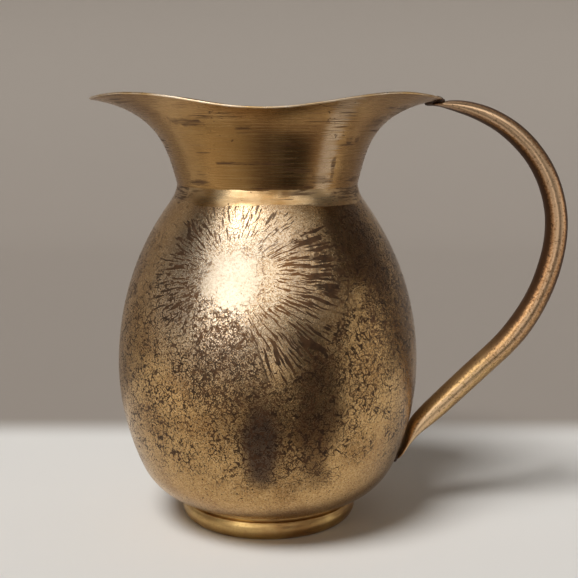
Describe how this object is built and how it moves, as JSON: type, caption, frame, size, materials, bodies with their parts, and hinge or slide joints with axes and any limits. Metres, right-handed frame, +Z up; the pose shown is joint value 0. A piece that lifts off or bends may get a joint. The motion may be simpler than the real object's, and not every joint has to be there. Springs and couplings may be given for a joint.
{
  "type": "water jug",
  "caption": "Aged brass water jug: egg-shaped belly on a foot band, flared collar with a pouring spout, and a bent tube handle brazed under the rim and to the belly.",
  "frame": {"origin": "on the table plane, under the middle of the jug's overall box; the jug's own axis stands 31.55 mm from it towards -X", "axes": "+Z up, -X towards the spout, +X towards the handle, Y across"},
  "size_m": [0.2354, 0.15, 0.2122],
  "materials": {
    "belly_brass": "aged brass with a brown crystalline patina and dark veins, satin",
    "collar_brass": "aged brass, brushed round the neck, with dark scuffs",
    "foot_brass": "cleaner golden brass, brushed",
    "handle_brass": "smooth coppery-brown brass, handled",
    "braze": "dull brazing metal",
    "burnt_braze": "black, oxidised brazing metal"
  },
  "bodies": {
    "root": {"belly_lower_bowl": "belly_brass", "belly_shoulder": "belly_brass", "belly_seam_braze": "braze", "neck_collar": "collar_brass", "neck_braze": "braze", "foot_ring": "foot_brass", "foot_braze": "braze", "handle_tube": "handle_brass", "handle_upper_braze": "burnt_braze", "handle_lower_braze": "burnt_braze"}
  },
  "joints": []
}
